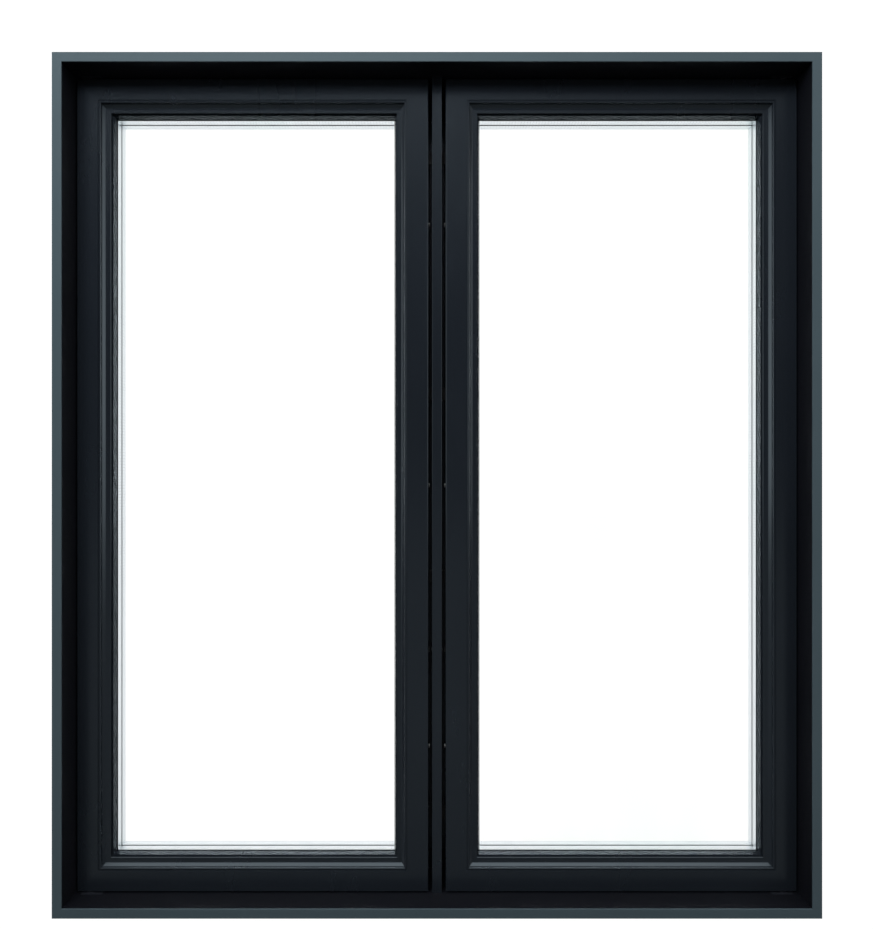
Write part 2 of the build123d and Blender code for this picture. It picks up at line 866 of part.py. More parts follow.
def weatherstrip():
    """The left opening's weatherstrip, all round the stop."""
    inset = stop_reach - strip_inset - strip_width
    right = -mullion_flange / 2 + strip_inset + strip_width
    return ring(strip_section(), -width / 2 + inset, right, inset, height - inset)


def locking_gear(pieces):
    """The left lock's case, lever, tie bar and what they carry."""
    pieces["lock_case"] = lock_case()
    pieces["lock_lever"] = lever()
    pieces["tie_bar"] = Compound(tie_bar())
    pieces["rollers"] = Compound(rollers())


def both(name, shape):
    """Keep a left piece and its mirror image on the right."""
    nodes[name + "_left"] = shape
    nodes[name + "_right"] = mirror(shape, about=Plane.YZ)


def pairs(name, shapes):
    """Keep left pieces and their mirror images in one node."""
    shapes = [s.solid() for s in shapes]
    nodes[name] = Compound(shapes + [mirror(s, about=Plane.YZ).solid() for s in shapes])


def build():
    """Make every node of the window."""
    frame()
    mullion()
    pairs("pivots_bottom", [pivot_block(rim, 1, sash_gap)])
    pairs("pivots_top", [pivot_block(height - rim, -1, sash_gap - fit)])
    pairs("bar_guides", [guide(z) for z in guide_heights])
    pairs("case_screws", case_screws())
    pairs("lever_axles", [axle()])
    pieces = {}
    sash(pieces)
    glazing(pieces)
    pieces["pull_handle"] = pull_handle()
    pieces["weatherstrip"] = weatherstrip()
    locking_gear(pieces)
    for name, shape in pieces.items():
        both(name, shape)


build()
os.makedirs("parts", exist_ok=True)
for name, shape in nodes.items():
    export_step(shape, f"parts/{name}.step")
print(len(nodes), "nodes")
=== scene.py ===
"""Looks of a double casement window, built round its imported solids.

The window stands on a pale floor and is seen from outdoors, dead front-on. Lengths are in metres,
and colours are red, green and blue steps of 0 to 255.
"""

import logging
from dataclasses import dataclass, field
from enum import Enum
from math import cos, pi, radians

import bmesh
import bpy
from mathutils import Matrix, Vector


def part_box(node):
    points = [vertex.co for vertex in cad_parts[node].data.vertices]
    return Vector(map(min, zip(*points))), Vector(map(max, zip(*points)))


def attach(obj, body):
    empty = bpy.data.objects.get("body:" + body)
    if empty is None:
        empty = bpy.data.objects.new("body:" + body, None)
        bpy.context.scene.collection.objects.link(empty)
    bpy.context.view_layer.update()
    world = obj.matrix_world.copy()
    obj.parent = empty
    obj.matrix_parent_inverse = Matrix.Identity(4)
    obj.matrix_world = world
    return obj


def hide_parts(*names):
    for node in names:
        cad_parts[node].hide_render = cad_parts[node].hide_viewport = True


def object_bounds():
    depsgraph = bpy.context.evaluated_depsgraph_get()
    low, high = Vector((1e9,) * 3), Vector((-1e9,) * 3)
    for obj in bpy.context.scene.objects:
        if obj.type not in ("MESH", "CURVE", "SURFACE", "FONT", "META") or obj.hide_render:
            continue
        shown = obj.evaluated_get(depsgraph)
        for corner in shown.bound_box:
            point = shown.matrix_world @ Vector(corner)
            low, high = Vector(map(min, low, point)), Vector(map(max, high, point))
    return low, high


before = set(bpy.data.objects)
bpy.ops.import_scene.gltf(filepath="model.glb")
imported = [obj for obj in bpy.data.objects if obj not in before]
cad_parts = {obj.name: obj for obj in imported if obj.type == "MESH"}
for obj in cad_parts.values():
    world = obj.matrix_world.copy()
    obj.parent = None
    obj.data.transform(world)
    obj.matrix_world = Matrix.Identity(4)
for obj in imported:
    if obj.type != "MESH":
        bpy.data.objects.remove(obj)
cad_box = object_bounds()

log = logging.getLogger("window")

Rgb = tuple[float, float, float]
Place = tuple[float, float, float]

DUST: Rgb = (170, 170, 165)
BLOOM: Rgb = (120, 120, 118)
HOLE: Rgb = (40, 42, 44)
MERGE_DISTANCE = 1e-7
SORTING_WAY = Vector((1.0, 0.755, 0.57))


def linear(rgb: Rgb) -> tuple[float, float, float, float]:
    """Turn a colour of 0 to 255 steps into the renderer's linear values.

    Args:
        rgb: Red, green and blue, as read off a picture.

    Returns:
        The linear colour with an alpha of one.
    """
    shares = [step / 255 for step in rgb]
    made = [s / 12.92 if s <= 0.04045 else ((s + 0.055) / 1.055) ** 2.4 for s in shares]
    return (made[0], made[1], made[2], 1.0)


class Side(Enum):
    """The two halves of the window, as seen from outdoors."""

    LEFT = "left"
    RIGHT = "right"


class NodeTree:
    """A short way to add and join shader nodes."""

    def __init__(self, tree: bpy.types.NodeTree) -> None:
        """Hold the tree that the nodes go into."""
        self.tree = tree

    def add(self, kind: str, **settings: object) -> bpy.types.Node:
        """Add a node.

        Args:
            kind: The node's type without its common first words.
            settings: Properties of the node to set.

        Returns:
            The new node.
        """
        node = self.tree.nodes.new(f"ShaderNode{kind}")
        for name, value in settings.items():
            setattr(node, name, value)
        return node

    def join(self, source: bpy.types.NodeSocket, target: bpy.types.NodeSocket) -> None:
        """Join an output to an input."""
        self.tree.links.new(source, target)

    def feed(self, socket: bpy.types.NodeSocket, value: object) -> None:
        """Join a socket to an input, or set a plain value on it.

        Args:
            socket: The input.
            value: A socket, or a plain value.
        """
        if isinstance(value, bpy.types.NodeSocket):
            self.join(value, socket)
        else:
            socket.default_value = value

    def sums(self, operation: str, *values: object) -> bpy.types.NodeSocket:
        """Work out a value from others.

        Args:
            operation: The sum's name.
            values: Numbers or sockets, in order.

        Returns:
            The socket that holds the answer.
        """
        node = self.add("Math", operation=operation)
        for socket, value in zip(node.inputs, values):
            self.feed(socket, value)
        return node.outputs[0]

    def blend(self, share: object, first: object, second: object) -> bpy.types.NodeSocket:
        """Mix two colours.

        Args:
            share: How much of the second colour shows.
            first: The colour at a share of nought.
            second: The colour at a share of one.

        Returns:
            The mixed colour's socket.
        """
        node = self.add("Mix", data_type="RGBA")
        self.feed(node.inputs["Factor"], share)
        self.feed(node.inputs["A"], first)
        self.feed(node.inputs["B"], second)
        return node.outputs["Result"]

    def spread(self, value: object, low: float, high: float) -> bpy.types.NodeSocket:
        """Stretch a share of nought to one over a range.

        Args:
            value: The share.
            low: The answer at nought.
            high: The answer at one.

        Returns:
            The socket of the stretched value.
        """
        node = self.add("MapRange")
        self.feed(node.inputs["Value"], value)
        node.inputs["To Min"].default_value = low
        node.inputs["To Max"].default_value = high
        return node.outputs["Result"]

    def ease(
        self, value: object, start: float, end: float, low: float = 0.0, high: float = 1.0
    ) -> bpy.types.NodeSocket:
        """Rise smoothly from one level to another while a value crosses a range.

        Args:
            value: The value.
            start: Where the range starts.
            end: Where it ends.
            low: The answer up to the start.
            high: The answer from the end on.

        Returns:
            The socket of the level.
        """
        node = self.add("MapRange", interpolation_type="SMOOTHSTEP")
        self.feed(node.inputs["Value"], value)
        limits = {"From Min": start, "From Max": end, "To Min": low, "To Max": high}
        for name, limit in limits.items():
            node.inputs[name].default_value = limit
        return node.outputs["Result"]

    def cloud(
        self, place: bpy.types.NodeSocket, scale: object, detail: float = 3.0
    ) -> bpy.types.NodeSocket:
        """Add soft random clouds.

        Args:
            place: Where on the piece the clouds are read.
            scale: How many clouds fit in a metre.
            detail: How many finer layers they hold.

        Returns:
            The clouds' value, from nought to one.
        """
        node = self.add("TexNoise")
        self.join(place, node.inputs["Vector"])
        self.feed(node.inputs["Scale"], scale)
        node.inputs["Detail"].default_value = detail
        return node.outputs["Fac"]


class Effect(NodeTree):
    """A node group that several finishes share."""

    def __init__(self, name: str, inputs: dict[str, float], outputs: dict[str, str]) -> None:
        """Start the group.

        Args:
            name: The group's name.
            inputs: Name and first value of each number that goes in.
            outputs: Name and kind of each value that comes out.
        """
        super().__init__(bpy.data.node_groups.new(name, "ShaderNodeTree"))
        for key, value in inputs.items():
            socket = self.tree.interface.new_socket(
                key, in_out="INPUT", socket_type="NodeSocketFloat"
            )
            socket.default_value = value
        for key, kind in outputs.items():
            self.tree.interface.new_socket(
                key, in_out="OUTPUT", socket_type=f"NodeSocket{kind}"
            )
        self.entry = self.tree.nodes.new("NodeGroupInput").outputs
        self.exit = self.tree.nodes.new("NodeGroupOutput").inputs
        self.place = self.add("TexCoord").outputs["Object"]


def coat_grain() -> bpy.types.NodeTree:
    """Build the skin of a powder coat: a soft peel with a fine grain on it.

    Returns:
        The group, which gives a height and a share for tone.
    """
    clouds_per_metre, grain_in_tone = 5.0, 0.25
    effect = Effect(
        "coat_grain",
        {"Peel per metre": 420.0, "Grain per metre": 2600.0, "Grain share": 0.3},
        {"Height": "Float", "Tone": "Float"},
    )
    peel = effect.cloud(effect.place, effect.entry["Peel per metre"], 2.0)
    grain = effect.cloud(effect.place, effect.entry["Grain per metre"], 2.0)
    part = effect.sums("MULTIPLY", grain, effect.entry["Grain share"])
    effect.join(effect.sums("ADD", peel, part), effect.exit["Height"])
    slow = effect.cloud(effect.place, clouds_per_metre, 4.0)
    effect.join(effect.sums("MULTIPLY_ADD", grain, grain_in_tone, slow), effect.exit["Tone"])
    return effect.tree


def handling() -> bpy.types.NodeTree:
    """Build the faint marks of cleaning and handling.

    Returns:
        The group, which gives a share for smears and one for settled dust.
    """
    wiping_lean, wiping_stretch = radians(24), 0.28
    clean, smeared = 0.42, 0.72
    speck_size = 0.09
    effect = Effect(
        "handling",
        {"Smears per metre": 14.0, "Dust per metre": 900.0},
        {"Smear": "Float", "Dust": "Float"},
    )
    lay = effect.add("Mapping", vector_type="POINT")
    effect.join(effect.place, lay.inputs["Vector"])
    lay.inputs["Rotation"].default_value = (0.0, wiping_lean, 0.0)
    lay.inputs["Scale"].default_value = (1.0, 1.0, wiping_stretch)
    smear = effect.cloud(lay.outputs["Vector"], effect.entry["Smears per metre"], 5.0)
    effect.join(effect.ease(smear, clean, smeared), effect.exit["Smear"])
    speck = effect.add("TexVoronoi", feature="F1")
    effect.join(effect.place, speck.inputs["Vector"])
    effect.join(effect.entry["Dust per metre"], speck.inputs["Scale"])
    near = effect.sums("LESS_THAN", speck.outputs["Distance"], speck_size)
    effect.join(near, effect.exit["Dust"])
    return effect.tree


def draw_lines() -> bpy.types.NodeTree:
    """Build the fine lines that a brush or an extrusion die leaves along a metal piece.

    Returns:
        The group, which gives a height and a share for tone.
    """
    bands_per_metre, line_in_tone = 60.0, 0.4
    effect = Effect(
        "draw_lines",
        {"Lines per metre": 1500.0, "Along X": 1.0, "Along Y": 1.0, "Along Z": 0.04},
        {"Height": "Float", "Tone": "Float"},
    )
    axes = effect.add("CombineXYZ")
    for axis in "XYZ":
        effect.join(effect.entry[f"Along {axis}"], axes.inputs[axis])
    lay = effect.add("VectorMath", operation="MULTIPLY")
    effect.join(effect.place, lay.inputs[0])
    effect.join(axes.outputs["Vector"], lay.inputs[1])
    lines = effect.cloud(lay.outputs["Vector"], effect.entry["Lines per metre"], 3.0)
    effect.join(lines, effect.exit["Height"])
    broad = effect.cloud(lay.outputs["Vector"], bands_per_metre, 3.0)
    effect.join(effect.sums("MULTIPLY_ADD", lines, line_in_tone, broad), effect.exit["Tone"])
    return effect.tree


def breathing_holes() -> bpy.types.NodeTree:
    """Build the two rows of tiny holes along a spacer bar's inner face.

    Returns:
        The group, which gives a mask of the holes.
    """
    effect = Effect(
        "breathing_holes",
        {"Pitch": 0.005, "Radius": 0.0005, "Middle": 0.0, "Row spacing": 0.006},
        {"Mask": "Float"},
    )
    split = effect.add("SeparateXYZ")
    effect.join(effect.place, split.inputs[0])
    facing = effect.add("SeparateXYZ")
    effect.join(effect.add("NewGeometry").outputs["Normal"], facing.inputs[0])
    upright = effect.sums("GREATER_THAN", effect.sums("ABSOLUTE", facing.outputs["X"]), 0.5)
    flat = effect.sums("SUBTRACT", 1.0, upright)
    along = effect.sums(
        "ADD",
        effect.sums("MULTIPLY", split.outputs["Z"], upright),
        effect.sums("MULTIPLY", split.outputs["X"], flat),
    )
    pitch = effect.entry["Pitch"]
    step = effect.sums("PINGPONG", along, effect.sums("MULTIPLY", pitch, 0.5))
    from_middle = effect.sums("SUBTRACT", split.outputs["Y"], effect.entry["Middle"])
    deep = effect.sums("ABSOLUTE", from_middle)
    half = effect.sums("MULTIPLY", effect.entry["Row spacing"], 0.5)
    row = effect.sums("ABSOLUTE", effect.sums("SUBTRACT", deep, half))
    squares = effect.sums("ADD", effect.sums("POWER", step, 2.0), effect.sums("POWER", row, 2.0))
    reach = effect.sums("SQRT", squares)
    effect.join(effect.sums("LESS_THAN", reach, effect.entry["Radius"]), effect.exit["Mask"])
    return effect.tree


class Effects:
    """The shared node groups, each built once."""

    def __init__(self) -> None:
        """Build the groups."""
        self.coat = coat_grain()
        self.handling = handling()
        self.lines = draw_lines()
        self.holes = breathing_holes()


@dataclass(frozen=True)
class Finish:
    """What all finishes have: a name, a colour and how far it wanders."""

    name: str
    colour: Rgb
    shade: Rgb
    roughness: float
    effects: Effects

    def start(self) -> tuple[bpy.types.Material, NodeTree, bpy.types.Node]:
        """Make the empty material.

        Returns:
            The material, its tree and its shader.
        """
        material = bpy.data.materials.new(self.name)
        material.use_nodes = True
        material.diffuse_color = linear(self.colour)
        return material, NodeTree(material.node_tree), material.node_tree.nodes["Principled BSDF"]

    def place_group(
        self, tree: NodeTree, group: bpy.types.NodeTree, **values: float
    ) -> bpy.types.Node:
        """Put a shared group in a material.

        Args:
            tree: The material's tree.
            group: The shared group.
            values: The group's own numbers, with underscores for spaces.

        Returns:
            The group's node.
        """
        node = tree.add("Group", node_tree=group)
        for key, value in values.items():
            node.inputs[key.replace("_", " ")].default_value = value
        return node

    def raise_skin(
        self, tree: NodeTree, shader: bpy.types.Node, height: bpy.types.NodeSocket, depth: float
    ) -> None:
        """Give the surface its small relief.

        Args:
            tree: The material's tree.
            shader: The shader that takes the relief.
            height: The relief's share.
            depth: Its real depth.
        """
        bump = tree.add("Bump")
        bump.inputs["Strength"].default_value = 1.0
        bump.inputs["Distance"].default_value = depth
        tree.join(height, bump.inputs["Height"])
        tree.join(bump.outputs["Normal"], shader.inputs["Normal"])

    def material(self) -> bpy.types.Material:
        """Build the material."""
        raise NotImplementedError


@dataclass(frozen=True)
class PowderCoat(Finish):
    """A satin powder coat on metal."""

    peel: float = 0.000002
    metallic: float = 0.0
    specular: float = 0.5
    gleam: Rgb = (1.0, 1.0, 1.0)
    dustiness: float = 0.05
    smear_dulling: float = 0.07

    def material(self) -> bpy.types.Material:
        """Build the coat.

        Returns:
            The material.
        """
        material, tree, shader = self.start()
        skin = self.place_group(tree, self.effects.coat)
        marks = self.place_group(tree, self.effects.handling)
        tone = tree.blend(skin.outputs["Tone"], linear(self.colour), linear(self.shade))
        dusty = tree.sums("MULTIPLY", marks.outputs["Dust"], self.dustiness)
        tree.join(tree.blend(dusty, tone, linear(DUST)), shader.inputs["Base Color"])
        dulled = self.roughness + self.smear_dulling
        smear = tree.spread(marks.outputs["Smear"], self.roughness, dulled)
        tree.join(smear, shader.inputs["Roughness"])
        shader.inputs["Metallic"].default_value = self.metallic
        shader.inputs["Specular IOR Level"].default_value = self.specular
        shader.inputs["Specular Tint"].default_value = (*self.gleam, 1.0)
        self.raise_skin(tree, shader, skin.outputs["Height"], self.peel)
        return material


@dataclass(frozen=True)
class DrawnMetal(Finish):
    """Bare metal with the lines of its brush or die."""

    depth: float = 0.000012
    smear_dulling: float = 0.12

    def material(self) -> bpy.types.Material:
        """Build the metal.

        Returns:
            The material.
        """
        material, tree, shader = self.start()
        lines = self.place_group(tree, self.effects.lines)
        marks = self.place_group(tree, self.effects.handling)
        tree.join(
            tree.blend(lines.outputs["Tone"], linear(self.shade), linear(self.colour)),
            shader.inputs["Base Color"],
        )
        dulled = self.roughness + self.smear_dulling
        worn = tree.spread(marks.outputs["Smear"], self.roughness, dulled)
        tree.join(worn, shader.inputs["Roughness"])
        shader.inputs["Metallic"].default_value = 1.0
        self.raise_skin(tree, shader, lines.outputs["Height"], self.depth)
        return material


@dataclass(frozen=True)
class MouldedPolymer(Finish):
    """Rubber or nylon with a fine moulded grain."""

    grain: float = 1800.0
    depth: float = 0.00001
    smears: float = 40.0
    bloom: float = 0.06
    smear_polish: float = 0.08

    def material(self) -> bpy.types.Material:
        """Build the polymer.

        Returns:
            The material.
        """
        material, tree, shader = self.start()
        skin = self.place_group(
            tree, self.effects.coat, Peel_per_metre=self.grain, Grain_per_metre=self.grain * 3
        )
        marks = self.place_group(tree, self.effects.handling, Smears_per_metre=self.smears)
        tone = tree.blend(skin.outputs["Tone"], linear(self.colour), linear(self.shade))
        bloom = tree.sums("MULTIPLY", marks.outputs["Smear"], self.bloom)
        tree.join(tree.blend(bloom, tone, linear(BLOOM)), shader.inputs["Base Color"])
        polished = self.roughness - self.smear_polish
        worn = tree.spread(marks.outputs["Smear"], self.roughness, polished)
        tree.join(worn, shader.inputs["Roughness"])
        self.raise_skin(tree, shader, skin.outputs["Height"], self.depth)
        return material


@dataclass(frozen=True)
class SpacerMetal(Finish):
    """The bright bar between two panes, with its breathing holes."""

    middle: float = 0.0
    lines: float = 700.0
    line_depth: float = 0.000008
    hole_depth: float = 20.0
    hole_roughness: float = 0.8

    def material(self) -> bpy.types.Material:
        """Build the bar's metal.

        Returns:
            The material.
        """
        material, tree, shader = self.start()
        lines = self.place_group(tree, self.effects.lines, Lines_per_metre=self.lines)
        holes = self.place_group(tree, self.effects.holes, Middle=self.middle)
        tone = tree.blend(lines.outputs["Tone"], linear(self.shade), linear(self.colour))
        mask = holes.outputs["Mask"]
        tree.join(tree.blend(mask, tone, linear(HOLE)), shader.inputs["Base Color"])
        rough = tree.spread(mask, self.roughness, self.hole_roughness)
        tree.join(rough, shader.inputs["Roughness"])
        shader.inputs["Metallic"].default_value = 1.0
        height = tree.sums("MULTIPLY_ADD", mask, -self.hole_depth, lines.outputs["Height"])
        self.raise_skin(tree, shader, height, self.line_depth)
        return material


@dataclass(frozen=True)
class FloatGlass(Finish):
    """A clear pane with the faintest trace of dust on it."""

    index: float = 1.2
    smears: float = 5.0
    film: float = 0.012

    def material(self) -> bpy.types.Material:
        """Build the pane's glass.

        Returns:
            The material.
        """
        material, tree, shader = self.start()
        marks = self.place_group(tree, self.effects.handling, Smears_per_metre=self.smears)
        tree.join(
            tree.blend(marks.outputs["Smear"], linear(self.colour), linear(self.shade)),
            shader.inputs["Base Color"],
        )
        film = tree.spread(marks.outputs["Smear"], self.roughness, self.roughness + self.film)
        tree.join(film, shader.inputs["Roughness"])
        shader.inputs["IOR"].default_value = self.index
        shader.inputs["Transmission Weight"].default_value = 1.0
        return material


def make_piece(
    name: str, shape: bmesh.types.BMesh, material: bpy.types.Material
) -> bpy.types.Object:
    """Turn a finished shape into a piece of the window.

    Args:
        name: The piece's name.
        shape: The shape, already in its place.
        material: Its finish.

    Returns:
        The piece, with its object at the origin.
    """
    bmesh.ops.remove_doubles(shape, verts=shape.verts, dist=MERGE_DISTANCE)
    bmesh.ops.recalc_face_normals(shape, faces=shape.faces)
    # The parts are sorted by place, so that the mesh is written in the same order each time.
    shape.verts.sort(key=lambda vertex: SORTING_WAY.dot(vertex.co))
    shape.edges.sort(key=lambda edge: SORTING_WAY.dot(edge.verts[0].co + edge.verts[1].co))
    shape.faces.sort(key=lambda face: SORTING_WAY.dot(face.calc_center_median()))
    mesh = bpy.data.meshes.new(name)
    shape.to_mesh(mesh)
    shape.free()
    mesh.materials.append(material)
    piece = bpy.data.objects.new(name, mesh)
    bpy.context.scene.collection.objects.link(piece)
    log.info("%s: %d faces", name, len(mesh.polygons))
    return piece


def dress(material: bpy.types.Material, *nodes: str) -> None:
    """Give solids their finish.

    Args:
        material: The finish.
        nodes: The solids' names.
    """
    for name in nodes:
        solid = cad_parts[name]
        for slot in solid.material_slots:
            slot.material = material
        log.info("%s wears %s", name, material.name)


@dataclass
class SocketScrew:
    """A screw's head with a six-sided socket, flat or countersunk."""

    radius: float
    height: float
    countersunk: bool
    socket: float = 0.5
    socket_depth: float = 0.5
    shank: float = 0.0
    shank_reach: float = 4.0
    steps: int = 24

    def add_to(self, shape: bmesh.types.BMesh, top: Vector, outward: Vector) -> None:
        """Add the screw to a shape.

        Args:
            shape: The shape that takes the screw.
            top: The middle of its head's outer face.
            outward: The direction in which the head looks.
        """
        screw = bmesh.new()
        bmesh.ops.create_circle(screw, cap_ends=True, segments=self.steps, radius=self.radius)
        face = screw.faces[:][0]
        edges = list(face.edges)
        bmesh.ops.inset_region(screw, faces=[face], thickness=self.radius * (1 - self.socket))
        inner = list(face.verts)
        flat = self.radius * self.socket * cos(pi / 6)
        for vertex in inner:
            angle = Vector((1, 0)).angle_signed(vertex.co.xy)
            turned = (angle % (pi / 3)) - pi / 6
            vertex.co.xy = vertex.co.xy.normalized() * (flat / cos(turned))
        pushed = bmesh.ops.extrude_discrete_faces(screw, faces=[face])["faces"]
        down = Vector((0, 0, -self.height * self.socket_depth))
        bmesh.ops.translate(screw, verts=list(pushed[0].verts), vec=down)
        self.close_below(screw, edges)
        turn = Vector((0, 0, 1)).rotation_difference(outward).to_matrix().to_4x4()
        bmesh.ops.transform(screw, matrix=Matrix.Translation(top) @ turn, verts=screw.verts)
        mesh = bpy.data.meshes.new("screw")
        screw.to_mesh(mesh)
        screw.free()
        shape.from_mesh(mesh)
        bpy.data.meshes.remove(mesh)

    def close_below(self, screw: bmesh.types.BMesh, edges: list[bmesh.types.BMEdge]) -> None:
        """Draw the head's rim down to its shank and close the end.

        Args:
            screw: The screw's shape.
            edges: The outer rim of its top.
        """
        ends = [(self.shank / self.radius if self.countersunk else 1.0, self.height)]
        if self.shank:
            ends.append((self.shank / self.radius, self.length_below()))
        reach = 0.0
        share = 1.0
        for narrow, depth in ends:
            grown = bmesh.ops.extrude_edge_only(screw, edges=edges)["geom"]
            verts = [part for part in grown if isinstance(part, bmesh.types.BMVert)]
            edges = [part for part in grown if isinstance(part, bmesh.types.BMEdge)]
            bmesh.ops.scale(screw, verts=verts, vec=(narrow / share, narrow / share, 1))
            bmesh.ops.translate(screw, verts=verts, vec=(0, 0, reach - depth))
            reach, share = depth, narrow
        bmesh.ops.contextual_create(screw, geom=edges)

    def length_below(self) -> float:
        """Give the depth of the shank's end."""
        return self.height + self.shank_reach * self.shank


@dataclass
class CoveBead:
    """The hollow-faced bead that lies in the step of a sash's moulding, all the way round.

    Its points are distances inwards from the sash's edge and back from its face. The rear runs
    just inside the moulding, and edges that turn by the crease or more degrees are sharp.
    """

    body: str
    slot: str
    paint: bpy.types.Material
    top: tuple[float, float] = (0.0393, 0.0041)
    slope: tuple[float, float] = (0.0425, 0.0073)
    bottom: tuple[float, float] = (0.0480, 0.0086)
    ledge: float = 0.0509
    arris: float = 0.0005
    foot: float = 0.01235
    rear: tuple[tuple[float, float], ...] = (
        (0.0492, 0.01235), (0.0480, 0.0097), (0.0452, 0.0086), (0.0402, 0.0078), (0.0392, 0.0042)
    )
    steps: int = 8
    crease: float = 30.0

    def face_line(self) -> list[tuple[float, float]]:
        """Draw the bead's shown face.

        Returns:
            Points as distances inwards from the sash's edge and back from its face.
        """
        start, wide = self.slope[0], self.bottom[0] - self.slope[0]
        deep = self.bottom[1] - self.slope[1]
        first_lean = (self.slope[1] - self.top[1]) / (self.slope[0] - self.top[0]) * wide / deep
        hollow = [
            (
                start + wide * (step / self.steps),
                self.bottom[1] - deep * (1 - step / self.steps) ** first_lean,
            )
            for step in range(self.steps + 1)
        ]
        edge = (self.ledge + self.arris, self.bottom[1] + self.arris)
        return [self.top, *hollow, (self.ledge, self.bottom[1]), edge, (edge[0], self.foot)]

    def build(self, low: Vector, high: Vector) -> bpy.types.Object:
        """Run the bead round the sash.

        Args:
            low: The sash's lowest corner.
            high: Its highest corner.

        Returns:
            The bead.
        """
        shape = bmesh.new()
        corners = ((low.x, low.z, 1, 1), (high.x, low.z, -1, 1),
                   (high.x, high.z, -1, -1), (low.x, high.z, 1, -1))
        inward, back = self.top
        ring = [
            shape.verts.new((x + way_x * inward, low.y + back, z + way_z * inward))
            for x, z, way_x, way_z in corners
        ]
        edges = [shape.edges.new((ring[turn - 1], ring[turn])) for turn in range(4)]
        first = edges
        shown = self.face_line()
        for following in [*shown[1:], *self.rear]:
            grown = bmesh.ops.extrude_edge_only(shape, edges=edges)["geom"]
            edges = [part for part in grown if isinstance(part, bmesh.types.BMEdge)]
            for vertex in [part for part in grown if isinstance(part, bmesh.types.BMVert)]:
                way_x = 1 if vertex.co.x < (low.x + high.x) / 2 else -1
                way_z = 1 if vertex.co.z < (low.z + high.z) / 2 else -1
                step = following[0] - inward
                bmesh.ops.translate(
                    shape, verts=[vertex],
                    vec=(way_x * step, following[1] - back, way_z * step),
                )
            inward, back = following
        bmesh.ops.bridge_loops(shape, edges=[*first, *edges])
        bmesh.ops.recalc_face_normals(shape, faces=shape.faces)
        shape.normal_update()
        for face in shape.faces:
            face.smooth = True
        for edge in shape.edges:
            edge.smooth = edge.calc_face_angle(0.0) < radians(self.crease)
        piece = make_piece(f"cove_bead_{self.body}", shape, self.paint)
        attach(piece, self.body)
        return piece


@dataclass
class OuterFrame:
    """The frame, its cover strips and what is fixed in it."""

    # Painted shade: this paint is the sashes' coat made darker, so that the reveals look shaded.
    paint: bpy.types.Material
    cover: bpy.types.Material
    alloy: bpy.types.Material
    steel: bpy.types.Material
    rubber: bpy.types.Material
    nylon: bpy.types.Material

    def build(self) -> None:
        """Dress the frame's solids."""
        dress(self.paint, "frame_head", "frame_sill", "frame_jamb_left", "frame_jamb_right")
        dress(self.cover, "cover_top", "cover_bottom", "cover_left", "cover_right")
        dress(self.alloy, "frame_corner_cleats")
        dress(self.steel, "pivots_top", "pivots_bottom")
        dress(self.rubber, "weatherstrip_left", "weatherstrip_right")
        dress(self.nylon, "bar_guides")


@dataclass
class Mullion:
    """The slender middle post."""

    paint: bpy.types.Material
    alloy: bpy.types.Material

    def build(self) -> None:
        """Dress the post's solids."""
        dress(self.paint, "mullion")
        dress(self.alloy, "mullion_plugs")


@dataclass
class Sash:
    """One opening sash with its glazing and handle."""

    side: Side
    paint: bpy.types.Material
    handle: bpy.types.Material
    alloy: bpy.types.Material
    steel: bpy.types.Material
    rubber: bpy.types.Material
    nylon: bpy.types.Material
    glass: bpy.types.Material
    spacer_outer: bpy.types.Material
    spacer_inner: bpy.types.Material
    screw: SocketScrew = field(
        default_factory=lambda: SocketScrew(radius=0.0017, height=0.0009, countersunk=False)
    )
    foot_length: float = 0.018
    screw_inset: float = 0.0062
    foot_thick: float = 0.003

    def name(self, node: str) -> str:
        """Give a solid's full name on this side."""
        return f"{node}_{self.side.value}"

    def build(self) -> None:
        """Dress the sash's solids, lay its bead and fit the handle's screws."""
        for material, nodes in self.finishes():
            dress(material, *(self.name(node) for node in nodes))
        low, high = self.outline()
        CoveBead(f"sash_{self.side.value}", "profile_finish", self.paint).build(low, high)
        self.fit_handle_screws()

    def outline(self) -> tuple[Vector, Vector]:
        """Find the box round the sash's four lengths.

        Returns:
            Its lowest and its highest corner.
        """
        lengths = ("stile_hinge", "stile_lock", "rail_top", "rail_bottom")
        boxes = [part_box(self.name(node)) for node in lengths]
        return (
            Vector([min(low[axis] for low, high in boxes) for axis in range(3)]),
            Vector([max(high[axis] for low, high in boxes) for axis in range(3)]),
        )

    def finishes(self) -> list[tuple[bpy.types.Material, tuple[str, ...]]]:
        """Say which solid wears which finish.

        Returns:
            Pairs of a finish and its solids.
        """
        return [
            (self.paint, ("stile_hinge", "stile_lock", "rail_bottom", "rail_top", "glazing_beads")),
            (self.alloy, ("corner_cleats",)),
            (self.steel, ("pivot_bushes", "keepers")),
            (self.glass, ("glass_outer", "glass_middle", "glass_inner")),
            (self.spacer_outer, ("spacer_outer",)),
            (self.spacer_inner, ("spacer_inner",)),
            (self.rubber, ("glazing_gasket_outer", "glazing_gasket_inner")),
            (self.nylon, ("setting_blocks",)),
            (self.handle, ("pull_handle",)),
        ]

    def fit_handle_screws(self) -> None:
        """Put two screws through each foot of the pull handle."""
        low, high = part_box(self.name("pull_handle"))
        x = (low.x + high.x) / 2
        y = low.y + self.foot_thick
        shape = bmesh.new()
        for foot in (low.z + self.foot_length / 2, high.z - self.foot_length / 2):
            for way in (-1, 1):
                top = Vector((x, y + self.screw.height, foot + way * self.screw_inset))
                self.screw.add_to(shape, top, Vector((0, 1, 0)))
        piece = make_piece(self.name("handle_screws"), shape, self.steel)
        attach(piece, f"sash_{self.side.value}")


